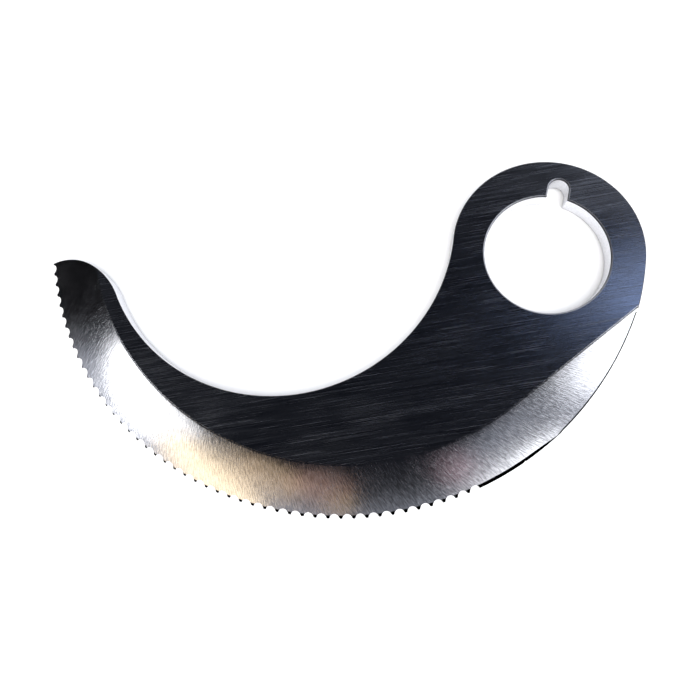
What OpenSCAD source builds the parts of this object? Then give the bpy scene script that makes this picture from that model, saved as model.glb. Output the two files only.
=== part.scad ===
// Serrated sickle blade for a bowl cutter.
//
// One piece of flat ground stainless plate. The eye slides onto a vertical drive shaft and a
// keyway turns the blade with it. The hooked blade has a wide bevel ground on its top face
// only, a narrow second bevel that makes the edge, and round gullets that make the teeth.
//
// Frame: the bore axis is Z, the flat back face lies on z = 0, the bevelled face looks up,
// and the keyway points along +Y. The blade sweeps away towards -X and -Y.
// All lengths are in millimetres and all angles in degrees, counted from +X.

/* [Plate] */
// Thickness of the plate
plate_t = 6; // [5:0.1:7.5]

/* [Eye] */
// Diameter of the shaft bore
bore_d = 40; // [32:0.5:48]
// Width of the eye's wall, measured on the eye's own circle
eye_wall = 10.6; // [9.5:0.1:13]
// How far the eye's circle is set towards the keyway from the bore axis
eye_shift = 2.2; // [0:0.1:3]

/* [Keyway] */
// Width of the keyway
keyway_w = 6.7; // [4.5:0.1:8.5]
// How far the keyway cuts into the eye beyond the bore's wall
keyway_depth = 6.6; // [6:0.1:8]
// Chamfer on the bore's and the keyway's rims
rim_chamfer = 0.5; // [0.2:0.1:0.8]

/* [Outline] */
// Radius of the cutting edge, which sets the size of the whole hook
edge_r = 105; // [87.5:0.5:126]
// How far inside the cutting circle the eye's far side stays
edge_inset = 3.5; // [1:0.1:6]
// Direction from the eye to the cutting circle's centre
edge_bearing = 177.7; // [170:0.1:185]
// Radius of the heel, which runs from the cutting edge in to the eye, as a share of the cutting radius
heel_share = 0.905; // [0.8:0.005:0.95]
// Radius of the mouth, the hollow side of the hook, as a share of the cutting radius
mouth_share = 0.57; // [0.48:0.005:0.59]
// Direction from the eye to the mouth's centre, which sets where the neck is
neck_bearing = 185.9; // [180:0.1:190]
// Radius of the rounded tip, as a share of the cutting radius
tip_share = 0.23; // [0.19:0.005:0.28]
// Direction from the mouth's centre to the tip circle's centre, which sets how far the hook goes round
tip_bearing = 218.2; // [210:0.1:240]

/* [Bevel] */
// Width of the wide bevel, measured across the blade
bevel_w = 17.5; // [14.6:0.1:20]
// Height that the wide bevel leaves at the cutting edge
bevel_edge_h = 0.8; // [0.7:0.05:1.2]
// How far the bevel's circle is set off from the cutting circle, which narrows it towards the heel
bevel_shift = 1.5; // [0:0.1:2]
// Direction in which the bevel's circle is set off
bevel_bearing = -32; // [-60:1:0]
// Angle round the bevel at which its shoulder leaves the arc and runs out straight to the heel
bevel_end = -38.8; // [-46:0.1:-32]
// Slope of the narrow second bevel
micro_slope = 50; // [42:1:56]
// Angle round the cutting edge at which the second bevel starts to fade
micro_end = -42; // [-46:1:-40]
// Height of the flat left at the very edge
edge_land = 0.2; // [0.15:0.05:0.3]

/* [Serration] */
// Angle round the cutting edge at which the row of gullets ends
serration_end = -51.5; // [-90:0.5:-50]
// Distance from one gullet to the next along the edge
gullet_pitch = 4.07; // [3.8:0.01:4.2]
// Radius of a gullet
gullet_r = 1.7; // [1.5:0.05:1.9]
// How far outside the cutting circle a gullet's centre lies
gullet_out = 0.5; // [0.3:0.05:0.7]
// Lean of the gullets, which opens them towards the bevelled face
gullet_lean = 12; // [5:1:20]

/* [Hidden] */
$fn = 180;

// Bodies that are cut away reach this far past the face that they open on
past = 2;
// Circles that flow into each other cross by this much, so that every joint is a clean corner
// of under two degrees
blend = 0.02;
// Longer than any distance across the blade
far = 3 * edge_r;
// A grinding pass starts this far round its arc, beyond the tip
pass_sweep = 150;
// The wide bevel's pass runs on past the eye, and the second bevel's until it has left the steel
bevel_run = edge_r;
micro_run = edge_r / 2;
// How far the grinding cutters reach beyond the bevel's outer side and above the second bevel
cutter_margin = 4;

heel_r = heel_share * edge_r;
mouth_r = mouth_share * edge_r;
tip_r = tip_share * edge_r;
bore_r = bore_d / 2;
eye_r = bore_r + eye_wall;
eye_c = [0, eye_shift];
keyway_end = bore_r + keyway_depth - keyway_w / 2;

// The eye sits inside the cutting circle, edge_inset short of touching it
edge_c = polar(eye_c, edge_r - eye_r - edge_inset, edge_bearing);
// The mouth touches the eye at the neck, and the tip circle touches the mouth at the hook's end
mouth_c = polar(eye_c, eye_r + mouth_r - blend, neck_bearing);
tip_c = polar(mouth_c, mouth_r + tip_r - blend, tip_bearing);
// The heel's circle touches the cutting circle and the eye, both from inside
heel_c = crossing(edge_c, edge_r - heel_r + blend, eye_c, heel_r - eye_r + blend);
heel_start = bearing(edge_c, heel_c);
heel_stop = bearing(heel_c, eye_c);

bevel_c = polar(edge_c, bevel_shift, bevel_bearing);
shoulder_r = edge_r - bevel_w;
bevel_slope = atan((plate_t - bevel_edge_h) / bevel_w);

// The teeth start at the corner where the rounded tip meets the cutting circle
tip_corner = crossing(edge_c, edge_r, tip_c, tip_r);
serration_start = bearing(edge_c, tip_corner);
gullet_step = gullet_pitch / edge_r * 180 / PI;
gullets = floor((serration_end - serration_start) / gullet_step);

// The point at distance r from c in direction a
function polar(c, r, a) = c + r * [cos(a), sin(a)];

// The direction from one point to another
function bearing(from, to) = atan2(to.y - from.y, to.x - from.x);

// Where two circles cross, on the right-hand side going from the first centre to the second
function crossing(c1, r1, c2, r2) =
    let (
        d = norm(c2 - c1),
        along = (d * d + r1 * r1 - r2 * r2) / (2 * d),
        aside = sqrt(r1 * r1 - along * along),
        a = bearing(c1, c2)
    )
    polar(polar(c1, along, a), aside, a - 90);

module disc(c, r) {
    translate(c) circle(r);
}

// What lies between the cutting circle and the mouth, from the tip round to the eye
module sickle() {
    difference() {
        intersection() {
            disc(edge_c, edge_r);
            polygon([
                mouth_c,
                polar(mouth_c, far, tip_bearing),
                [-far, -far],
                [far, -far],
                polar(eye_c, far, heel_stop),
                eye_c
            ]);
        }
        disc(mouth_c, mouth_r);
        heel_trim();
    }
}

// Takes the cutting circle in to the heel's own arc
module heel_trim() {
    difference() {
        polygon([
            heel_c,
            polar(heel_c, far, heel_start),
            polar(heel_c, far, heel_start + 90)
        ]);
        disc(heel_c, heel_r);
    }
}

module outline() {
    sickle();
    disc(eye_c, eye_r);
    intersection() {
        disc(tip_c, tip_r);
        disc(edge_c, edge_r);
    }
}

// A grinding pass: it takes off what lies above a slope that falls outwards through the point
// at radius r and height h. The pass follows an arc up to the angle stop, then runs on
// straight along the arc's tangent.
module grind(c, r, h, slope, inner, outer, stop, straight) {
    translate(c) rotate(stop) mirror([0, 1, 0]) {
        rotate_extrude(angle = pass_sweep)
            slope_section(r, h, slope, inner, outer);
        rotate([90, 0, 0])
            linear_extrude(straight)
                slope_section(r, h, slope, inner, outer);
    }
}

module slope_section(r, h, slope, inner, outer) {
    polygon([
        [r - inner, h + inner * tan(slope)],
        [r + outer, h - outer * tan(slope)],
        [r + outer, h + inner * tan(slope)]
    ]);
}

module wide_bevel() {
    outer = bevel_w + 2 * cutter_margin;
    grind(bevel_c, shoulder_r, plate_t, bevel_slope, past, outer, bevel_end, bevel_run);
}

module second_bevel() {
    grind(edge_c, edge_r, edge_land, micro_slope, cutter_margin, past, micro_end, micro_run);
}

module gullet() {
    rotate([0, -gullet_lean, 0])
        translate([0, 0, -past])
            cylinder(h = 3 * past, r = gullet_r, $fn = 32);
}

module serration() {
    for (i = [0 : gullets - 1])
        translate(edge_c)
            rotate(serration_start + (i + 0.5) * gullet_step)
                translate([edge_r + gullet_out, 0, 0])
                    gullet();
}

// The bore and the keyway, right through the plate
module shaft_hole() {
    translate([0, 0, -past])
        linear_extrude(plate_t + 2 * past) {
            circle(bore_r);
            translate([-keyway_w / 2, 0])
                square([keyway_w, keyway_end]);
            translate([0, keyway_end])
                circle(keyway_w / 2);
        }
}

// A 45 degree chamfer round the shaft hole's rim on the back face
module rim_chamfers() {
    wide = rim_chamfer + past;
    translate([0, 0, -past])
        cylinder(h = wide, r1 = bore_r + wide, r2 = bore_r);
    translate([0, keyway_end, -past])
        cylinder(h = wide, r1 = keyway_w / 2 + wide, r2 = keyway_w / 2);
    rotate([-90, 0, 0])
        linear_extrude(keyway_end)
            polygon([
                [-keyway_w / 2, -rim_chamfer],
                [keyway_w / 2, -rim_chamfer],
                [keyway_w / 2 + wide, past],
                [-keyway_w / 2 - wide, past]
            ]);
}

module blade() {
    color("slategray")
        difference() {
            linear_extrude(plate_t) outline();
            wide_bevel();
            second_bevel();
            serration();
            shaft_hole();
            rim_chamfers();
            translate([0, 0, plate_t]) mirror([0, 0, 1]) rim_chamfers();
        }
}

blade();
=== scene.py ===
"""Looks of a serrated sickle blade for a bowl cutter, built in the frame of its CAD model.

The blade is one plate of hardened stainless steel. It is made here the way a workshop makes it:
a blank is cut out and its corners are broken, the shaft hole is bored and chamfered, a wheel
grinds the wide bevel and the narrow edge bevel, a row of gullets makes the teeth, and the corner
round the heel is dubbed. Each tool leaves its own finish on the steel that it cuts. The black of
the edge bevel and the dubbed heel, and the dark of the broken corners, are painted shade. Drawing
sizes are in millimetres. Circles, heights and meshes are in metres.
"""

from __future__ import annotations

import logging
import math
from collections.abc import Callable
from dataclasses import dataclass, field
from enum import Enum
from typing import ClassVar

import bmesh
import bpy
from mathutils import Matrix, Vector


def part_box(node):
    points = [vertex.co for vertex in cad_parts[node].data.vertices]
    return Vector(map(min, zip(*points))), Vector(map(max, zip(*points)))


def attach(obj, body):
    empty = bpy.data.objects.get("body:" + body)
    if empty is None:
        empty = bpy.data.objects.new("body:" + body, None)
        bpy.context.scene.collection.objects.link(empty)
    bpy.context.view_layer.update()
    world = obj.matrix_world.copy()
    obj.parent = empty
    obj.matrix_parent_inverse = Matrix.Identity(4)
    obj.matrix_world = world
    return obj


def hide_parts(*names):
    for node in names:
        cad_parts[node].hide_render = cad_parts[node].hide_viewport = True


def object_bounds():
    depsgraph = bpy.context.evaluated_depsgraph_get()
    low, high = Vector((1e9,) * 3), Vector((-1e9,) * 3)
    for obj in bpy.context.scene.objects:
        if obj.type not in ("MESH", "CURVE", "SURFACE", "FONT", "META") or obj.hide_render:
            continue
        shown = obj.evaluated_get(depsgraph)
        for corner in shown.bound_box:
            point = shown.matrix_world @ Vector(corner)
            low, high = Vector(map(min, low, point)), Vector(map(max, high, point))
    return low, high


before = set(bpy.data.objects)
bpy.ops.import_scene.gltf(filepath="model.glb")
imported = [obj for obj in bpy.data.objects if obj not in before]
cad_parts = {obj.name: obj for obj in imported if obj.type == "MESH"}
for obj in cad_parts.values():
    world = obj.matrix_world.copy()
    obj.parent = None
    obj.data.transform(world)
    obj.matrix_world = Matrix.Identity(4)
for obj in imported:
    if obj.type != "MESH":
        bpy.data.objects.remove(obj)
cad_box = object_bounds()

log = logging.getLogger("bowl_cutter_blade")

MM = 0.001
# Arcs are drawn in steps of this many degrees
ARC_STEP = 0.5
# Points nearer than this are one point, in metres
WELD = 1e-6
ORIGIN = Vector((0.0, 0.0, 0.0))
UP = Vector((0.0, 0.0, 1.0))
# The colour sockets of a Mix node that mixes colours
FIRST_COLOUR = 6
SECOND_COLOUR = 7
MIXED_COLOUR = 2
# The blank's material slots
FLAT_SLOT = 0
SIDE_SLOT = 1
CORNER_SLOT = 2
# The least rise of a face's normal on the plate's flats, and on a chamfer's flatter facet
FLAT_RISE = 0.5
FACET_RISE = 0.8
# The least difference in that rise between the two faces of a square corner
CORNER_RISE = 0.9


def polar(centre: Vector, reach: float, degrees: float) -> Vector:
    """Gives the point at a distance from a centre in a direction.

    Args:
        centre: Where the distance is measured from.
        reach: The distance.
        degrees: The direction, counted from +X.

    Returns:
        The point, at the centre's height.
    """
    angle = math.radians(degrees)
    return centre + reach * Vector((math.cos(angle), math.sin(angle), 0.0))


def bearing(start: Vector, goal: Vector) -> float:
    """Gives the direction from one point to another, in degrees from +X.

    Args:
        start: The point that is looked from.
        goal: The point that is looked at.

    Returns:
        The direction, between -180 and 180.
    """
    way = goal - start
    return math.degrees(math.atan2(way.y, way.x))


def crossing(first: Circle, second: Circle) -> Vector:
    """Finds where two circles cross, on the right going from the first centre to the second.

    Args:
        first: The circle that is looked from.
        second: The circle that is looked at.

    Returns:
        The crossing point.
    """
    apart = (second.centre - first.centre).length
    along = (apart**2 + first.radius**2 - second.radius**2) / (2.0 * apart)
    aside = math.sqrt(first.radius**2 - along**2)
    way = bearing(first.centre, second.centre)
    return polar(polar(first.centre, along, way), aside, way - 90.0)


@dataclass(frozen=True)
class Circle:
    """A circle of the blade's drawing, in metres."""

    centre: Vector
    radius: float


@dataclass
class Pen:
    """Draws one closed line with bmesh operators and makes a solid of it."""

    bm: bmesh.types.BMesh
    tip: bmesh.types.BMVert

    @classmethod
    def at(cls, point: Vector) -> Pen:
        """Puts the pen on a point of a new mesh."""
        bm = bmesh.new()
        return cls(bm, bm.verts.new(point))

    def arc(self, centre: Vector, degrees: float) -> None:
        """Draws an arc round a centre, anticlockwise for a positive angle."""
        steps = max(2, round(abs(degrees) / ARC_STEP))
        drawn = bmesh.ops.spin(
            self.bm,
            geom=[self.tip],
            cent=centre,
            axis=UP,
            angle=math.radians(degrees),
            steps=steps,
        )
        self.tip = drawn["geom_last"][0]

    def line(self, way: Vector) -> None:
        """Draws a straight line from the pen's tip."""
        drawn = bmesh.ops.extrude_vert_indiv(self.bm, verts=[self.tip])
        self.tip = drawn["verts"][0]
        bmesh.ops.translate(self.bm, verts=[self.tip], vec=way)

    def solid(self, low: float, high: float) -> bmesh.types.BMesh:
        """Closes the line, fills it and draws it up into a solid.

        Args:
            low: Height of the solid's underside.
            high: Height of its top.

        Returns:
            The mesh of the solid.
        """
        bmesh.ops.remove_doubles(self.bm, verts=self.bm.verts, dist=10.0 * WELD)
        bmesh.ops.translate(self.bm, verts=self.bm.verts, vec=low * UP)
        bmesh.ops.edgeloop_fill(self.bm, edges=self.bm.edges)
        raised = bmesh.ops.extrude_face_region(self.bm, geom=self.bm.faces[:])
        top = [part for part in raised["geom"] if isinstance(part, bmesh.types.BMVert)]
        bmesh.ops.translate(self.bm, verts=top, vec=(high - low) * UP)
        bmesh.ops.recalc_face_normals(self.bm, faces=self.bm.faces)
        return self.bm


def make_object(name: str, bm: bmesh.types.BMesh, *metals: bpy.types.Material) -> bpy.types.Object:
    """Makes a scene object of a mesh under construction.

    Args:
        name: The object's name.
        bm: The mesh, which is freed.
        metals: The object's materials, in the order of its faces' indices.

    Returns:
        The new object, at the origin.
    """
    mesh = bpy.data.meshes.new(name)
    bm.to_mesh(mesh)
    bm.free()
    for metal in metals:
        mesh.materials.append(metal)
    piece = bpy.data.objects.new(name, mesh)
    bpy.context.scene.collection.objects.link(piece)
    return piece


def add_node(
    tree: bpy.types.NodeTree,
    kind: str,
    inputs: dict[str | int, object] | None = None,
    **settings: object,
) -> bpy.types.Node:
    """Adds a node, gives it its settings, and sets or links its inputs.

    Args:
        tree: The tree that the node joins.
        kind: The node's type, without the word ShaderNode.
        inputs: A value, or a socket to link from, for each named input.
        settings: Values of the node's own properties.

    Returns:
        The new node.
    """
    node = tree.nodes.new("ShaderNode" + kind)
    for name, value in settings.items():
        setattr(node, name, value)
    for name, value in (inputs or {}).items():
        if isinstance(value, bpy.types.NodeSocket):
            tree.links.new(value, node.inputs[name])
        else:
            node.inputs[name].default_value = value
    return node


def linear(hex_colour: str) -> tuple[float, float, float, float]:
    """Turns an sRGB colour into the linear colour that the nodes take.

    Args:
        hex_colour: The colour, such as #8c9099.

    Returns:
        Red, green, blue and an alpha of 1.
    """
    shares = [int(hex_colour[at : at + 2], 16) / 255.0 for at in (1, 3, 5)]
    red, green, blue = (
        share / 12.92 if share <= 0.04045 else ((share + 0.055) / 1.055) ** 2.4 for share in shares
    )
    return red, green, blue, 1.0


class Lay(Enum):
    """The way that a tool's scratches run over the steel."""

    STRAIGHT = "straight"
    ACROSS = "across the bevel"
    NONE = "none"


@dataclass(frozen=True)
class SteelFinish:
    """Hardened martensitic stainless steel, with the surface that one tool leaves.

    The metal is a neutral grey with a slight blue cast. What the eye sees is mostly the room,
    smeared across the scratches, so each tool's mark is in the roughness, in a fine bump and in
    painted shade at the bottom of each scratch.
    Real scratches are a few hundredths of a millimetre wide, too fine to show, so they are drawn
    as coarse as they need to be. Sizes are in millimetres.

    Attributes:
        name: The real material and how its surface was made.
        colour: The steel's colour.
        worn_colour: Its colour in the patches that handling has dulled.
        roughness: Roughness between the scratches.
        scratch_roughness: Roughness in the deepest scratches.
        anisotropy: How far reflections smear across the scratches.
        lay: The way that the scratches run.
        scratch_length: How long a scratch is.
        scratch_width: How wide a scratch is.
        lay_bearing: The scratches' direction, from +X or from the radius, in degrees.
        lay_centre: The centre of a lay across the bevel.
        scratch_height: How deep a scratch is.
        scratch_cut: Where in the noise the deepest scratches begin.
        scratch_shade: How much darker the bottom of a scratch is painted, as painted shade.
        glancing_colour: The steel's colour at a glancing angle.
        cloud_size: How wide a dulled patch is.
    """

    name: str
    colour: str
    worn_colour: str
    roughness: float
    scratch_roughness: float
    anisotropy: float
    lay: Lay
    scratch_length: float
    scratch_width: float
    lay_bearing: float = 0.0
    lay_centre: tuple[float, float] = (0.0, 0.0)
    scratch_height: float = 0.0012
    scratch_cut: float = 0.62
    scratch_shade: float = 0.15
    glancing_colour: str = "#ffffff"
    cloud_size: float = 14.0
    # The middle of the bevel, where distances along it are true
    roll_radius: ClassVar[float] = 96.0
    # The noise hardly leaves this band
    noise_band: ClassVar[tuple[float, float]] = (0.3, 0.7)
    groove_band: ClassVar[tuple[float, float]] = (0.36, 0.6)
    # The dulled patches are smoother or rougher than the rest by this much
    mottle: ClassVar[tuple[float, float]] = (-0.03, 0.05)
    # Deep scratches are this much finer than the rest, and this soft at their sides
    deep_share: ClassVar[float] = 0.8
    deep_side: ClassVar[float] = 0.1

    def coordinates(self, tree: bpy.types.NodeTree) -> tuple[bpy.types.NodeSocket, bpy.types.NodeSocket]:
        """Lays coordinates along and across the scratches, and gives their direction.

        Args:
            tree: The material's node tree.

        Returns:
            The coordinates, with X along the scratches, and the direction of the scratches.
        """
        place = add_node(tree, "TexCoord").outputs["Object"]
        if self.lay is Lay.ACROSS:
            x, y = self.lay_centre
            centred = add_node(
                tree,
                "VectorMath",
                {0: place, 1: (x * MM, y * MM, 0.0)},
                operation="SUBTRACT",
            )
            parts = add_node(tree, "SeparateXYZ", {0: centred.outputs[0]})
            flat = add_node(tree, "CombineXYZ", {"X": parts.outputs["X"], "Y": parts.outputs["Y"]})
            reach = add_node(tree, "VectorMath", {0: flat.outputs[0]}, operation="LENGTH")
            turn = add_node(
                tree,
                "Math",
                {0: parts.outputs["Y"], 1: parts.outputs["X"]},
                operation="ARCTAN2",
            )
            around = add_node(
                tree,
                "Math",
                {0: turn.outputs[0], 1: self.roll_radius * MM},
                operation="MULTIPLY",
            )
            rolled = add_node(tree, "CombineXYZ", {"X": reach.outputs["Value"], "Y": around.outputs[0]})
            slant = add_node(
                tree,
                "VectorRotate",
                {"Vector": rolled.outputs[0], "Angle": math.radians(-self.lay_bearing)},
                rotation_type="Z_AXIS",
            )
            way = add_node(
                tree,
                "VectorRotate",
                {"Vector": flat.outputs[0], "Angle": math.radians(self.lay_bearing)},
                rotation_type="Z_AXIS",
            )
            return slant.outputs[0], way.outputs[0]
        turned = add_node(
            tree,
            "VectorRotate",
            {"Vector": place, "Angle": math.radians(-self.lay_bearing)},
            rotation_type="Z_AXIS",
        )
        angle = math.radians(self.lay_bearing)
        way = add_node(tree, "CombineXYZ", {"X": math.cos(angle), "Y": math.sin(angle)})
        return turned.outputs[0], way.outputs[0]

    def stretched_noise(
        self,
        tree: bpy.types.NodeTree,
        place: bpy.types.NodeSocket,
        length: float,
        width: float,
    ) -> bpy.types.NodeSocket:
        """Draws noise as streaks.

        Args:
            tree: The material's node tree.
            place: Coordinates with X along the streaks.
            length: How long a streak is, in millimetres.
            width: How wide a streak is, in millimetres.

        Returns:
            The noise, from 0 to 1.
        """
        grid = add_node(
            tree,
            "Mapping",
            {"Vector": place, "Scale": (length * MM, width * MM, width * MM)},
            vector_type="TEXTURE",
        )
        noise = add_node(
            tree,
            "TexNoise",
            {"Vector": grid.outputs[0], "Scale": 1.0, "Detail": 3.0, "Roughness": 0.62},
        )
        return noise.outputs["Fac"]

    def material(self) -> bpy.types.Material:
        """Makes the steel's material.

        Returns:
            The material, which reads Object coordinates only.
        """
        metal = bpy.data.materials.new(self.name)
        metal.use_nodes = True
        tree = metal.node_tree
        tree.nodes.clear()
        place, way = self.coordinates(tree)
        lines = self.stretched_noise(tree, place, self.scratch_length, self.scratch_width)
        clouds = self.stretched_noise(tree, place, 2.0 * self.cloud_size, self.cloud_size)
        deep = self.stretched_noise(
            tree,
            place,
            self.deep_share * self.scratch_length,
            self.deep_share * self.scratch_width,
        )
        cut = add_node(
            tree,
            "MapRange",
            {
                "Value": deep,
                "From Min": self.scratch_cut,
                "From Max": self.scratch_cut + self.deep_side,
            },
            interpolation_type="SMOOTHSTEP",
        )
        mottled = add_node(
            tree,
            "MapRange",
            {
                "Value": clouds,
                "From Min": self.noise_band[0],
                "From Max": self.noise_band[1],
                "To Min": self.mottle[0],
                "To Max": self.mottle[1],
            },
        )
        streaked = add_node(
            tree,
            "MapRange",
            {
                "Value": lines,
                "From Min": self.noise_band[0],
                "From Max": self.noise_band[1],
                "To Min": self.roughness,
                "To Max": 0.5 * (self.roughness + self.scratch_roughness),
            },
        )
        worn = add_node(
            tree,
            "Mix",
            {"Factor": cut.outputs[0], "A": streaked.outputs[0], "B": self.scratch_roughness},
            data_type="FLOAT",
        )
        rough = add_node(tree, "Math", {0: worn.outputs[0], 1: mottled.outputs[0]}, operation="ADD")
        tone = add_node(tree, "Mix", {"Factor": clouds}, data_type="RGBA")
        tone.inputs[FIRST_COLOUR].default_value = linear(self.colour)
        tone.inputs[SECOND_COLOUR].default_value = linear(self.worn_colour)
        # Painted shade: the colour is darkened at the bottom of each scratch
        groove = add_node(
            tree,
            "MapRange",
            {
                "Value": lines,
                "From Min": self.groove_band[0],
                "From Max": self.groove_band[1],
                "To Min": 1.0 - self.scratch_shade,
                "To Max": 1.0,
            },
        )
        shaded = add_node(
            tree,
            "VectorMath",
            {0: tone.outputs[MIXED_COLOUR], "Scale": groove.outputs[0]},
            operation="SCALE",
        )
        relief = add_node(
            tree,
            "Bump",
            {"Height": lines, "Strength": 1.0, "Distance": self.scratch_height * MM},
        )
        steel = add_node(
            tree,
            "BsdfPrincipled",
            {
                "Base Color": shaded.outputs[0],
                "Metallic": 1.0,
                "Specular Tint": linear(self.glancing_colour),
                "Roughness": rough.outputs[0],
                "Normal": relief.outputs[0],
                "Anisotropic": self.anisotropy,
                "Tangent": way,
            },
        )
        add_node(tree, "OutputMaterial", {"Surface": steel.outputs[0]})
        return metal


@dataclass
class BladePlan:
    """The blade's drawing, in millimetres and degrees. Its height comes from the CAD model's box.

    Attributes:
        bore_d: The shaft bore's diameter.
        eye_wall: How wide the steel round the bore is.
        eye_shift: How far the eye's centre lies from the bore's.
        keyway_w: The keyway's width.
        keyway_depth: How far the keyway reaches beyond the bore.
        rim_chamfer: The width of the shaft hole's chamfers.
        edge_r: The cutting circle's radius.
        edge_inset: How far the eye stays inside the cutting circle.
        edge_bearing: The direction from the eye to the cutting circle's centre.
        heel_share: The heel's radius, as a share of edge_r.
        mouth_share: The mouth's radius, as such a share.
        neck_bearing: The direction from the eye to the mouth's centre.
        tip_share: The tip's radius, as such a share.
        tip_bearing: The direction from the mouth's centre to the tip's.
        bevel_w: The wide bevel's width.
        bevel_edge_h: How high the wide bevel meets the cutting edge.
        bevel_shift: How far the wide bevel's centre lies from the cutting circle's.
        bevel_bearing: The direction of that shift.
        bevel_end: Where the wide bevel's pass leaves its arc.
        micro_slope: How steep the edge bevel is.
        micro_end: Where the edge bevel's pass leaves its arc.
        edge_land: How high the edge bevel meets the cutting edge.
        serration_end: Where the row of teeth ends.
        gullet_pitch: How far apart the gullets are.
        gullet_r: A gullet's radius.
        gullet_out: How far a gullet's centre lies outside the cutting circle.
        gullet_lean: How far the gullets lean outwards towards the back.
    """

    bore_d: float = 40.0
    eye_wall: float = 10.6
    eye_shift: float = 2.2
    keyway_w: float = 6.7
    keyway_depth: float = 6.6
    rim_chamfer: float = 0.5
    edge_r: float = 105.0
    edge_inset: float = 3.5
    edge_bearing: float = 177.7
    heel_share: float = 0.905
    mouth_share: float = 0.57
    neck_bearing: float = 185.9
    tip_share: float = 0.23
    tip_bearing: float = 218.2
    bevel_w: float = 17.5
    bevel_edge_h: float = 0.8
    bevel_shift: float = 1.5
    bevel_bearing: float = -32.0
    bevel_end: float = -38.8
    micro_slope: float = 50.0
    micro_end: float = -42.0
    edge_land: float = 0.2
    serration_end: float = -51.5
    gullet_pitch: float = 4.07
    gullet_r: float = 1.7
    gullet_out: float = 0.5
    gullet_lean: float = 12.0
    bore: Circle = field(init=False)
    eye: Circle = field(init=False)
    edge: Circle = field(init=False)
    mouth: Circle = field(init=False)
    tip: Circle = field(init=False)
    heel: Circle = field(init=False)
    shoulder: Circle = field(init=False)

    def __post_init__(self) -> None:
        """Works out the circles that the outline is made of."""
        bore_r = self.bore_d / 2.0 * MM
        edge_r = self.edge_r * MM
        self.bore = Circle(ORIGIN, bore_r)
        self.eye = Circle(Vector((0.0, self.eye_shift * MM, 0.0)), bore_r + self.eye_wall * MM)
        inset = self.edge_inset * MM
        edge_centre = polar(self.eye.centre, edge_r - self.eye.radius - inset, self.edge_bearing)
        self.edge = Circle(edge_centre, edge_r)
        mouth_r = self.mouth_share * edge_r
        mouth_centre = polar(self.eye.centre, self.eye.radius + mouth_r, self.neck_bearing)
        self.mouth = Circle(mouth_centre, mouth_r)
        tip_r = self.tip_share * edge_r
        self.tip = Circle(polar(self.mouth.centre, mouth_r + tip_r, self.tip_bearing), tip_r)
        heel_r = self.heel_share * edge_r
        heel_centre = crossing(
            Circle(self.edge.centre, edge_r - heel_r),
            Circle(self.eye.centre, heel_r - self.eye.radius),
        )
        self.heel = Circle(heel_centre, heel_r)
        self.shoulder = Circle(
            polar(self.edge.centre, self.bevel_shift * MM, self.bevel_bearing),
            (self.edge_r - self.bevel_w) * MM,
        )


class Finish(Enum):
    """The finishes of the blade, by the tool that leaves each."""

    # Belt-ground sheet: long straight scratches, so reflections smear across them
    FLAT = SteelFinish(
        name="stainless_steel_belt_ground_face",
        colour="#b4b7be",
        worn_colour="#a9abb0",
        roughness=0.13,
        scratch_roughness=0.42,
        anisotropy=0.5,
        lay=Lay.STRAIGHT,
        lay_bearing=22.5,
        scratch_length=30.0,
        scratch_width=0.26,
        scratch_height=0.013,
        scratch_cut=0.6,
        scratch_shade=0.28,
    )
    # Wheel-ground bevel, finer and brighter, with its scratches across the blade
    BEVEL = SteelFinish(
        name="stainless_steel_cross_ground_bevel",
        colour="#d0d1d4",
        worn_colour="#c3c3c6",
        roughness=0.11,
        scratch_roughness=0.26,
        anisotropy=0.5,
        lay=Lay.ACROSS,
        lay_bearing=25.0,
        lay_centre=(-69.57, 4.25),
        scratch_length=2.4,
        scratch_width=0.36,
        scratch_height=0.017,
        scratch_cut=0.6,
        scratch_shade=0.4,
    )
    # The edge bevel, painted black: painted shade for the dark that it mirrors, with a black glancing
    # colour so that it mirrors nothing
    EDGE = SteelFinish(
        name="stainless_steel_painted_shade_edge",
        colour="#020203",
        worn_colour="#050506",
        roughness=0.22,
        scratch_roughness=0.32,
        anisotropy=0.3,
        glancing_colour="#000000",
        lay=Lay.ACROSS,
        lay_centre=(-70.84, 5.05),
        scratch_length=3.0,
        scratch_width=0.3,
    )
    # Gullets cut by a small profiled wheel: bright scallops, with no direction that shows
    GULLET = SteelFinish(
        name="stainless_steel_wheel_cut_gullet",
        colour="#f4f5f7",
        worn_colour="#e6e7ea",
        roughness=0.28,
        scratch_roughness=0.4,
        anisotropy=0.0,
        lay=Lay.NONE,
        scratch_length=0.6,
        scratch_width=0.4,
    )
    # The cut sides of the plate: an even pale satin that takes the floor's light
    WALL = SteelFinish(
        name="stainless_steel_satin_cut_side",
        colour="#e8e9ed",
        worn_colour="#dadbdf",
        roughness=0.3,
        scratch_roughness=0.45,
        anisotropy=0.0,
        lay=Lay.NONE,
        scratch_length=0.8,
        scratch_width=0.5,
    )
    # Corners of the outline, broken on a worn belt and painted near black: a thin line of painted shade
    # round the plate
    CORNER = SteelFinish(
        name="stainless_steel_painted_shade_corner",
        colour="#141519",
        worn_colour="#2a2b30",
        roughness=0.3,
        scratch_roughness=0.45,
        anisotropy=0.0,
        lay=Lay.NONE,
        scratch_length=3.0,
        scratch_width=1.0,
        scratch_height=0.0004,
    )
    # The shaft hole's chamfers, countersunk: a fine matt line that catches the light
    RIM = SteelFinish(
        name="stainless_steel_countersunk_rim",
        colour="#cfd0d4",
        worn_colour="#bdbec2",
        roughness=0.42,
        scratch_roughness=0.5,
        anisotropy=0.0,
        lay=Lay.NONE,
        scratch_length=3.0,
        scratch_width=1.0,
        scratch_height=0.0004,
    )


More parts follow.
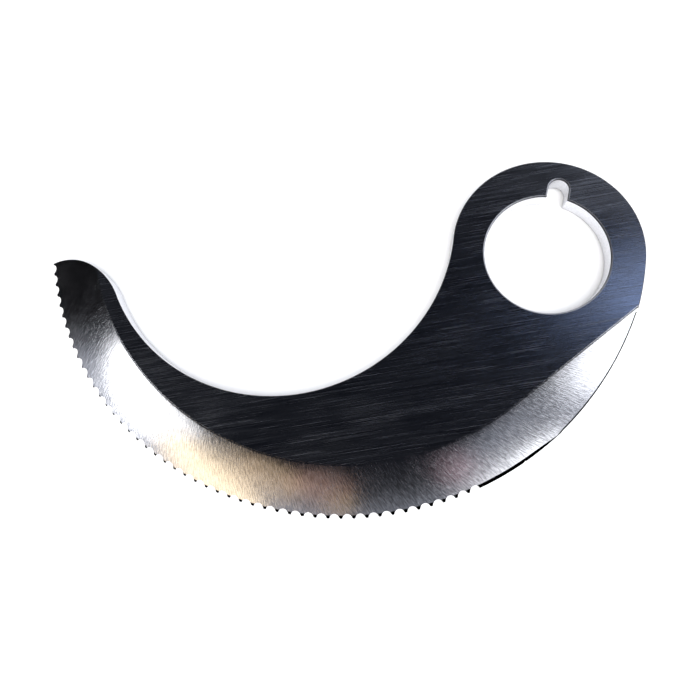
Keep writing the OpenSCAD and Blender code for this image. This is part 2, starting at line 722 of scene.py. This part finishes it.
@dataclass(frozen=True)
class GrindingPass:
    """One pass of a grinding wheel round a circle. Lengths and heights are in metres.

    Attributes:
        circle: The circle that the ground face passes through at the given height.
        height: That height.
        slope: How steeply the face falls outwards, in degrees.
        width: How wide the face is.
        inner: How far the body ground away reaches inside the circle.
        outer: How far it reaches outside the circle.
        stop: Where the pass leaves the circle along its tangent, in degrees.
        straight: How far the pass then runs on.
        crown: How far the middle of the face stands proud of a straight slope.
        turn: How far to each side of the circle the face's upper corner is rounded.
        strips: How many strips the face is drawn with.
        sweep: How far round the circle the wheel has come when it stops, in degrees.
    """

    circle: Circle
    height: float
    slope: float
    width: float
    inner: float
    outer: float
    stop: float
    straight: float
    crown: float = 0.0
    turn: float = 0.0
    strips: int = 8
    sweep: float = 150.0

    def section(self) -> list[tuple[float, float]]:
        """Draws the section of what is ground away.

        Returns:
            Its corners, each as a distance outwards from the circle and a height.
        """
        fall = math.tan(math.radians(self.slope))
        face = []
        for step in range(self.strips + 1):
            reach = self.turn + (self.width - self.turn) * step / self.strips
            bulge = 4.0 * self.crown * reach * (self.width - reach) / self.width**2
            face.append((reach, self.height - reach * fall + bulge))
        drop = self.height - face[0][1]
        shares = (0.25, 0.5, 0.75) if self.turn else ()
        rounded = [(self.turn * (2.0 * share - 1.0), self.height - drop * share**2) for share in shares]
        top = self.height + self.inner * fall
        below = self.height - self.outer * fall
        return [(-self.inner, top), *rounded, *face, (self.outer, below), (self.outer, top)]

    def body(self, metal: bpy.types.Material) -> bpy.types.Object:
        """Sweeps the section round the circle and on along its tangent.

        Args:
            metal: What the wheel leaves on the steel.

        Returns:
            The body, as a tool object.
        """
        bm = bmesh.new()
        centre, radius = self.circle.centre, self.circle.radius
        start = self.stop - self.sweep
        corners = [
            bm.verts.new(polar(centre, radius + reach, start) + height * UP)
            for reach, height in self.section()
        ]
        swept = bmesh.ops.spin(
            bm,
            geom=[bm.faces.new(corners)],
            cent=centre,
            axis=UP,
            angle=math.radians(self.sweep),
            steps=round(self.sweep / ARC_STEP),
        )
        drawn = bmesh.ops.extrude_face_region(bm, geom=swept["geom_last"])
        ends = [part for part in drawn["geom"] if isinstance(part, bmesh.types.BMVert)]
        bmesh.ops.translate(bm, verts=ends, vec=polar(ORIGIN, self.straight, self.stop + 90.0))
        bmesh.ops.recalc_face_normals(bm, faces=bm.faces)
        return make_object("grinding_pass", bm, metal)


@dataclass
class SickleBlade:
    """The whole blade: one plate of steel with its hole, bevels and teeth.

    Attributes:
        plan: The blade's drawing.
        thickness: The plate's thickness, in metres. All other sizes are in millimetres.
        corner_break: How far the outline's corners are broken.
        past: How far a tool reaches past the face that it opens on.
        edge_pass_run: How far the edge bevel's pass runs on straight.
        cutter_margin: How far a grinding tool reaches beyond its face.
        bevel_crown: How far the wide bevel's middle stands proud.
        shoulder_turn: How far the shoulder is rounded to each side.
        heel_break: How far the corner round the heel is dubbed.
        edge_margin: Corners this near the cutting circle stay sharp.
        hole_margin: Corners this far beyond the keyway still belong to the hole.
        sharp_angle: Corners sharper than this keep their line, in degrees.
        gullet_sides: How many sides a gullet's cutter has.
        metals: The material that each finish leaves.
    """

    plan: BladePlan
    thickness: float
    corner_break: float = 0.3
    past: float = 2.0
    edge_pass_run: float = 52.5
    cutter_margin: float = 4.0
    bevel_crown: float = 0.19
    shoulder_turn: float = 0.35
    heel_break: float = 0.65
    edge_margin: float = 0.05
    hole_margin: float = 0.1
    sharp_angle: float = 25.0
    gullet_sides: int = 32
    metals: dict[Finish, bpy.types.Material] = field(init=False)

    def __post_init__(self) -> None:
        """Makes the materials once, so that tools and blank share them."""
        self.metals = {finish: finish.value.material() for finish in Finish}

    def blank(self) -> bpy.types.Object:
        """Cuts the outline out of the plate and breaks its corners.

        Returns:
            The blank, whose faces are flat, side or corner.
        """
        plan = self.plan
        heel_stop = bearing(plan.heel.centre, plan.eye.centre)
        tip_corner = crossing(plan.edge, plan.tip)
        pen = Pen.at(polar(plan.eye.centre, plan.eye.radius, heel_stop))
        pen.arc(plan.eye.centre, plan.neck_bearing - heel_stop)
        pen.arc(plan.mouth.centre, plan.tip_bearing - plan.neck_bearing - 180.0)
        pen.arc(
            plan.tip.centre,
            bearing(plan.tip.centre, tip_corner) - plan.tip_bearing + 180.0,
        )
        heel_start = bearing(plan.edge.centre, plan.heel.centre)
        pen.arc(plan.edge.centre, heel_start - bearing(plan.edge.centre, tip_corner))
        pen.arc(plan.heel.centre, heel_stop - heel_start)
        bm = pen.solid(0.0, self.thickness)
        for face in bm.faces:
            face.material_index = FLAT_SLOT if abs(face.normal.z) > FLAT_RISE else SIDE_SLOT
        inside = plan.edge.radius - self.edge_margin * MM
        broken = self.break_corners(
            bm,
            lambda place: (place - plan.edge.centre).xy.length < inside,
            self.corner_break,
            segments=1,
        )
        # The broken corners take the corner finish, whose dark is painted shade
        for face in broken:
            face.material_index = CORNER_SLOT
        return make_object(
            "blade_steel",
            bm,
            self.metals[Finish.FLAT],
            self.metals[Finish.WALL],
            self.metals[Finish.CORNER],
        )

    def break_corners(
        self,
        bm: bmesh.types.BMesh,
        wanted: Callable[[Vector], bool],
        width: float,
        segments: int,
    ) -> list[bmesh.types.BMFace]:
        """Bevels the corners between flat faces and sides.

        Args:
            bm: The blade's mesh.
            wanted: Says of a point on a corner whether the corner is broken there.
            width: How far the bevel reaches from the corner, in millimetres.
            segments: How many facets it has.

        Returns:
            The new facets.
        """
        corners = [
            edge
            for edge in bm.edges
            if abs(abs(edge.link_faces[0].normal.z) - abs(edge.link_faces[1].normal.z)) > CORNER_RISE
            and all(wanted(vert.co) for vert in edge.verts)
        ]
        return self.chamfer(bm, corners, width, segments)

    def chamfer(
        self,
        bm: bmesh.types.BMesh,
        edges: list[bmesh.types.BMEdge],
        width: float,
        segments: int,
    ) -> list[bmesh.types.BMFace]:
        """Bevels edges of the blade.

        Args:
            bm: The blade's mesh.
            edges: The edges.
            width: How far the bevel reaches from each edge, in millimetres.
            segments: How many facets it has.

        Returns:
            The new facets.
        """
        cut = bmesh.ops.bevel(
            bm,
            geom=edges,
            offset=width * MM,
            offset_type="OFFSET",
            segments=segments,
            profile=0.5,
            affect="EDGES",
            material=-1,
        )
        return cut["faces"]

    def dub_heel(self, steel: bpy.types.Object) -> None:
        """Carries the edge's black line of painted shade on round the heel, where the bevel meets the
        plate's side.

        Args:
            steel: The blade, with its bevels ground.
        """
        names = steel.data.materials
        bevel_slot = names.find(Finish.BEVEL.value.name)
        edge_slot = names.find(Finish.EDGE.value.name)
        bm = bmesh.new()
        bm.from_mesh(steel.data)
        heel = [
            edge
            for edge in bm.edges
            if {face.material_index for face in edge.link_faces} == {bevel_slot, SIDE_SLOT}
            and all(vert.co.x > 0.0 for vert in edge.verts)
        ]
        # The dubbed facets take the edge's finish, painted black as painted shade
        for face in self.chamfer(bm, heel, self.heel_break, segments=1):
            face.material_index = edge_slot
        bm.to_mesh(steel.data)
        bm.free()

    def fit_box(self, steel: bpy.types.Object) -> None:
        """Takes up the last hundredths of a millimetre between the mesh and the CAD model's box.

        Args:
            steel: The finished blade.
        """
        low, high = cad_box
        corners = [Vector(corner) for corner in steel.bound_box]
        least = Vector(min(corner[axis] for corner in corners) for axis in range(3))
        most = Vector(max(corner[axis] for corner in corners) for axis in range(3))
        scales = [(high[axis] - low[axis]) / (most[axis] - least[axis]) for axis in range(3)]
        stretch = Matrix.Diagonal([*scales, 1.0])
        steel.data.transform(Matrix.Translation(low) @ stretch @ Matrix.Translation(-least))

    def shaft_hole(self) -> bpy.types.Object:
        """Makes the tool that bores the shaft hole and broaches its keyway.

        Returns:
            The tool, which reaches through the plate.
        """
        plan = self.plan
        half = plan.keyway_w / 2.0 * MM
        mouth = math.sqrt(plan.bore.radius**2 - half**2)
        top = plan.bore.radius + plan.keyway_depth * MM - half
        start = Vector((half, mouth, 0.0))
        pen = Pen.at(start)
        pen.line(Vector((0.0, top - mouth, 0.0)))
        pen.arc(Vector((0.0, top, 0.0)), 180.0)
        pen.line(Vector((0.0, mouth - top, 0.0)))
        pen.arc(plan.bore.centre, 360.0 - 2.0 * math.degrees(math.asin(half / plan.bore.radius)))
        bm = pen.solid(-self.past * MM, self.thickness + self.past * MM)
        return make_object("shaft_hole_tool", bm, self.metals[Finish.WALL])

    def bevel_pass(self) -> GrindingPass:
        """Sets the wheel for the wide bevel.

        Returns:
            The pass, which runs off straight at the heel.
        """
        plan = self.plan
        fall = math.atan((self.thickness / MM - plan.bevel_edge_h) / plan.bevel_w)
        return GrindingPass(
            circle=plan.shoulder,
            height=self.thickness,
            slope=math.degrees(fall),
            width=plan.bevel_w * MM,
            inner=self.past * MM,
            outer=(plan.bevel_w + 2.0 * self.cutter_margin) * MM,
            stop=plan.bevel_end,
            straight=plan.edge.radius,
            crown=self.bevel_crown * MM,
            turn=self.shoulder_turn * MM,
        )

    def edge_pass(self) -> GrindingPass:
        """Sets the wheel for the steep and narrow edge bevel.

        Returns:
            The pass, which leaves the steel where the heel begins.
        """
        plan = self.plan
        return GrindingPass(
            circle=plan.edge,
            height=plan.edge_land * MM,
            slope=plan.micro_slope,
            width=0.5 * self.past * MM,
            inner=self.cutter_margin * MM,
            outer=self.past * MM,
            stop=plan.micro_end,
            straight=self.edge_pass_run * MM,
        )

    def gullet_row(self) -> bpy.types.Object:
        """Makes the row of leaning round cutters that leaves the teeth.

        Returns:
            The row, as one tool object.
        """
        plan = self.plan
        start = bearing(plan.edge.centre, crossing(plan.edge, plan.tip))
        step = math.degrees(plan.gullet_pitch * MM / plan.edge.radius)
        count = math.floor((plan.serration_end - start) / step)
        bm = bmesh.new()
        bmesh.ops.create_cone(
            bm,
            cap_ends=True,
            segments=self.gullet_sides,
            radius1=plan.gullet_r * MM,
            radius2=plan.gullet_r * MM,
            depth=3.0 * self.past * MM,
        )
        lean = Matrix.Rotation(math.radians(-plan.gullet_lean), 4, "Y")
        turn = Matrix.Rotation(math.radians(start + 0.5 * step), 4, "Z")
        reach = plan.edge.radius + plan.gullet_out * MM
        place = (
            Matrix.Translation(plan.edge.centre)
            @ turn
            @ Matrix.Translation((reach, 0.0, 0.0))
            @ lean
            @ Matrix.Translation((0.0, 0.0, 0.5 * self.past * MM))
        )
        bmesh.ops.transform(bm, matrix=place, verts=bm.verts)
        bmesh.ops.spin(
            bm,
            geom=bm.verts[:] + bm.edges[:] + bm.faces[:],
            cent=plan.edge.centre,
            axis=UP,
            angle=math.radians(step * (count - 1)),
            steps=count - 1,
            use_duplicate=True,
        )
        bmesh.ops.recalc_face_normals(bm, faces=bm.faces)
        return make_object("gullet_row", bm, self.metals[Finish.GULLET])

    def cut_away(self, steel: bpy.types.Object, tool: bpy.types.Object) -> None:
        """Takes a tool's body out of the steel, which keeps the tool's finish where it was cut.

        Args:
            steel: The blade.
            tool: The tool's body, which is thrown away afterwards.
        """
        cut = steel.modifiers.new("cut", "BOOLEAN")
        cut.operation = "DIFFERENCE"
        cut.solver = "EXACT"
        cut.material_mode = "TRANSFER"
        cut.object = tool
        graph = bpy.context.evaluated_depsgraph_get()
        steel.data = bpy.data.meshes.new_from_object(steel.evaluated_get(graph))
        steel.modifiers.clear()
        bpy.data.objects.remove(tool)

    def chamfer_hole(self, steel: bpy.types.Object) -> None:
        """Chamfers both rims of the shaft hole.

        Args:
            steel: The blade, with its shaft hole bored.
        """
        bm = bmesh.new()
        bm.from_mesh(steel.data)
        limit = self.plan.bore.radius + self.plan.keyway_depth * MM + self.hole_margin * MM
        cut = self.break_corners(
            bm,
            lambda place: place.xy.length < limit,
            self.plan.rim_chamfer,
            segments=2,
        )
        rim_slot = len(steel.data.materials)
        steel.data.materials.append(self.metals[Finish.RIM])
        for face in cut:
            face.normal_update()
            # The steeper facet takes the corner finish, whose dark is painted shade: a dark line inside
            # the rim
            face.material_index = rim_slot if abs(face.normal.z) > FACET_RISE else CORNER_SLOT
        bm.to_mesh(steel.data)
        bm.free()

    def dress(self, steel: bpy.types.Object) -> None:
        """Welds the finished mesh, and keeps the line between two finishes crisp.

        Args:
            steel: The blade, with every cut made.
        """
        bm = bmesh.new()
        bm.from_mesh(steel.data)
        bmesh.ops.remove_doubles(bm, verts=bm.verts, dist=WELD)
        bmesh.ops.dissolve_degenerate(bm, edges=bm.edges, dist=WELD)
        for face in bm.faces:
            face.smooth = True
        sharp = math.radians(self.sharp_angle)
        for edge in bm.edges:
            finishes = {face.material_index for face in edge.link_faces}
            edge.smooth = len(finishes) == 1 and edge.calc_face_angle(0.0) < sharp
        bm.to_mesh(steel.data)
        bm.free()
        steel.data.name = steel.name

    def build(self) -> bpy.types.Object:
        """Makes the blade, step by step, and hands it to the frame.

        Returns:
            The finished piece.
        """
        steel = self.blank()
        self.cut_away(steel, self.shaft_hole())
        self.chamfer_hole(steel)
        self.cut_away(steel, self.bevel_pass().body(self.metals[Finish.BEVEL]))
        # The edge bevel takes the finish painted black, as painted shade
        self.cut_away(steel, self.edge_pass().body(self.metals[Finish.EDGE]))
        self.cut_away(steel, self.gullet_row())
        self.dub_heel(steel)
        self.dress(steel)
        self.fit_box(steel)
        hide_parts("blade")
        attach(steel, "root")
        return steel


@dataclass(frozen=True)
class SoftBox:
    """A soft oval area light that the blade mirrors at one spot.

    Attributes:
        name: The light's name.
        azimuth: The direction from the spot to the light, from +X, in degrees.
        from_zenith: How far that direction leans from straight up, in degrees.
        width: The light's width, in metres.
        height: The light's height, in metres.
        radiance: How bright its face is.
        colour: The light's colour.
        spot: The spot on the blade, in millimetres.
        distance: How far the light hangs from the spot, in metres.
        shows_in_steel: Whether the steel mirrors it.
    """

    name: str
    azimuth: float
    from_zenith: float
    width: float
    height: float
    radiance: float
    colour: str = "#ffffff"
    spot: tuple[float, float] = (-70.0, -40.0)
    distance: float = 0.7
    shows_in_steel: bool = True

    def place(self) -> bpy.types.Object:
        """Hangs the light and turns it to its spot.

        Returns:
            The light's object.
        """
        target = Vector((self.spot[0] * MM, self.spot[1] * MM, 0.0))
        lamp = bpy.data.lights.new(self.name, "AREA")
        lamp.shape = "ELLIPSE"
        lamp.size = self.width
        lamp.size_y = self.height
        lamp.color = linear(self.colour)[:3]
        lamp.energy = self.radiance * math.pi * self.width * self.height * math.pi / 4.0
        box = bpy.data.objects.new(self.name, lamp)
        tilt = math.radians(self.from_zenith)
        level = polar(ORIGIN, math.sin(tilt), self.azimuth)
        way = level + math.cos(tilt) * UP
        box.location = target + self.distance * way
        box.rotation_euler = way.to_track_quat("Z", "Y").to_euler()
        box.visible_glossy = self.shows_in_steel
        bpy.context.scene.collection.objects.link(box)
        return box


@dataclass
class Studio:
    """The floor, the room's soft light and the camera.

    Attributes:
        floor_size: How wide the floor is, in metres.
        floor_gap: How far it lies under the blade, in metres.
        paint_grain: How fine the paint's grain is, in grains a metre.
        camera_spot: Where the camera hangs, in millimetres.
        camera_aim: The point that it looks at, in millimetres.
        camera_roll: How far it is turned about its own axis, in degrees.
        lens: The lens's focal length, in millimetres.
        sensor: The sensor's width, in millimetres.
        pale: The room's colour at floor level.
        dark: The room's colour overhead.
        dark_from: Where the dark begins, as the cosine of the angle from straight up.
        ring: Such cosines between the two, each with the brightness there.
        ring_tint: The colour of the ring that they make.
        cloth_way: The direction of a round dark cloth that the blade's tip mirrors.
        cloth_edge: The cosines of the angles between which the cloth's edge fades.
        cloth_light: How much of the room's light the cloth leaves.
        boxes: The lights.
    """

    floor_size: float = 12.0
    floor_gap: float = 0.0001
    paint_grain: float = 900.0
    camera_spot: tuple[float, float, float] = (-37.078, -73.652, 164.032)
    camera_aim: tuple[float, float, float] = (-55.312, -44.707, 3.0)
    camera_roll: float = 13.787
    lens: float = 25.97
    sensor: float = 36.0
    pale: tuple[float, float, float, float] = (0.95, 0.95, 0.96, 1.0)
    dark: tuple[float, float, float, float] = (0.0085, 0.01, 0.0155, 1.0)
    dark_from: float = 0.85
    ring: tuple[tuple[float, float], ...] = (
        (0.5, 0.85),
        (0.66, 0.72),
        (0.715, 0.42),
        (0.75, 0.16),
        (0.79, 0.04),
    )
    ring_tint: tuple[float, float, float] = (0.93, 0.97, 1.1)
    cloth_way: tuple[float, float, float] = (-0.874, 0.123, 0.469)
    cloth_edge: tuple[float, float] = (0.9, 0.955)
    cloth_light: float = 0.008
    boxes: tuple[SoftBox, ...] = (
        SoftBox("key_left", -152.0, 50.0, 0.27, 0.17, 4.5, spot=(-134.0, -66.0)),
        SoftBox("key_low", -139.0, 43.5, 0.13, 0.07, 2.4, spot=(-114.0, -68.0)),
        SoftBox("warm_front", -121.0, 48.5, 0.38, 0.13, 2.5, "#ffe0aa", spot=(-103.0, -85.0)),
        SoftBox("warm_low", -108.0, 39.5, 0.22, 0.09, 1.0, "#ffd9a6", spot=(-89.0, -86.0)),
        SoftBox("gold_card", -83.0, 41.0, 0.06, 0.07, 0.8, "#ffcf78", spot=(-62.0, -94.0)),
        SoftBox("mauve_card", -90.0, 37.0, 0.18, 0.09, 0.62, "#e6b3a0", spot=(-72.0, -90.0)),
        SoftBox("rose_card", -43.0, 38.0, 0.08, 0.06, 0.75, "#ffb3bf", spot=(-20.0, -74.0)),
        SoftBox("side_wall", -27.0, 37.5, 0.3, 0.11, 0.34, "#e9eeff", spot=(0.0, -58.0)),
        SoftBox("low_strip", -33.0, 48.0, 0.36, 0.1, 2.4, spot=(-2.0, -68.0)),
        SoftBox("right_window", 3.0, 47.5, 0.26, 0.25, 3.2, "#f8faff", spot=(22.0, -30.0)),
        SoftBox("back_cool", 46.0, 31.0, 0.1, 0.1, 2.2, "#b4ccff", spot=(28.0, -10.0)),
        SoftBox("back_wall", 60.0, 46.0, 0.2, 0.1, 0.5, "#dce6ff", spot=(20.0, 15.0)),
        SoftBox("floor_fill", -50.0, 20.0, 1.8, 1.8, 3.8, shows_in_steel=False, distance=1.3),
    )

    def floor(self) -> bpy.types.Object:
        """Lays a plain pale floor under the blade.

        Returns:
            The floor's object, which belongs to the stage.
        """
        bm = bmesh.new()
        bmesh.ops.create_grid(bm, x_segments=1, y_segments=1, size=self.floor_size / 2.0)
        # Rolled emulsion paint: an even matt white whose grain hardly shows
        paint = bpy.data.materials.new("matt_white_painted_board")
        paint.use_nodes = True
        tree = paint.node_tree
        tree.nodes.clear()
        place = add_node(tree, "TexCoord").outputs["Object"]
        grain = add_node(tree, "TexNoise", {"Vector": place, "Scale": self.paint_grain, "Detail": 2.0})
        tone = add_node(tree, "Mix", {"Factor": grain.outputs["Fac"]}, data_type="RGBA")
        tone.inputs[FIRST_COLOUR].default_value = linear("#f6f6f6")
        tone.inputs[SECOND_COLOUR].default_value = linear("#f9f9f9")
        board = add_node(
            tree,
            "BsdfPrincipled",
            {"Base Color": tone.outputs[MIXED_COLOUR], "Roughness": 0.8},
        )
        add_node(tree, "OutputMaterial", {"Surface": board.outputs[0]})
        ground = make_object("floor", bm, paint)
        ground.data.transform(Matrix.Translation((cad_box[0].z - self.floor_gap) * UP))
        return ground

    def room(self) -> bpy.types.World:
        """Makes a pale room with a dark ceiling, and a round dark cloth beyond the blade's tip.

        Returns:
            The scene's world.
        """
        world = bpy.data.worlds.new("studio_room")
        world.use_nodes = True
        tree = world.node_tree
        tree.nodes.clear()
        way = add_node(tree, "TexCoord").outputs["Generated"]
        parts = add_node(tree, "SeparateXYZ", {0: way})
        aside = add_node(tree, "VectorMath", {0: way, 1: self.cloth_way}, operation="DOT_PRODUCT")
        ceiling = add_node(tree, "ValToRGB", {"Fac": parts.outputs["Z"]})
        ramp = ceiling.color_ramp
        ramp.elements[0].position = 0.0
        ramp.elements[0].color = self.pale
        ramp.elements[1].position = self.dark_from
        ramp.elements[1].color = self.dark
        for height, shade in self.ring:
            stop = ramp.elements.new(height)
            stop.color = (*(share * shade for share in self.ring_tint), 1.0)
        cloth = add_node(
            tree,
            "MapRange",
            {
                "Value": aside.outputs["Value"],
                "From Min": self.cloth_edge[0],
                "From Max": self.cloth_edge[1],
                "To Min": 1.0,
                "To Max": self.cloth_light,
            },
            interpolation_type="SMOOTHSTEP",
        )
        light = add_node(
            tree,
            "Background",
            {"Color": ceiling.outputs["Color"], "Strength": cloth.outputs[0]},
        )
        add_node(tree, "OutputWorld", {"Surface": light.outputs[0]})
        bpy.context.scene.world = world
        return world

    def camera(self) -> bpy.types.Object:
        """Hangs a wide camera close above the blade.

        Returns:
            The camera's object, which is the scene's camera.
        """
        camera = bpy.data.cameras.new("camera")
        camera.lens = self.lens
        camera.sensor_width = self.sensor
        camera.clip_start = 0.01
        eye = bpy.data.objects.new("camera", camera)
        spot = Vector(self.camera_spot) * MM
        look = Vector(self.camera_aim) * MM - spot
        side = look.cross(Vector((0.0, 1.0, 0.0))).normalized()
        head = side.cross(look).normalized()
        turn = Matrix((side, head, -look.normalized())).transposed().to_4x4()
        roll = Matrix.Rotation(math.radians(self.camera_roll), 4, "Z")
        eye.matrix_world = Matrix.Translation(spot) @ turn @ roll
        bpy.context.scene.collection.objects.link(eye)
        bpy.context.scene.camera = eye
        return eye

    def build(self) -> None:
        """Sets up everything round the blade."""
        self.camera()
        self.floor()
        self.room()
        for box in self.boxes:
            box.place()
        bpy.context.scene.view_settings.view_transform = "Standard"


def main() -> None:
    """Builds the studio and the blade, and reports each piece."""
    logging.basicConfig(level=logging.INFO, format="%(name)s: %(message)s")
    low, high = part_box("blade")
    Studio().build()
    log.info("studio: floor, room, lights and camera are in place")
    steel = SickleBlade(plan=BladePlan(), thickness=high.z - low.z).build()
    faces, finishes = len(steel.data.polygons), len(steel.data.materials)
    log.info("%s: %d faces with %d finishes", steel.name, faces, finishes)


if __name__ == "__main__":
    main()
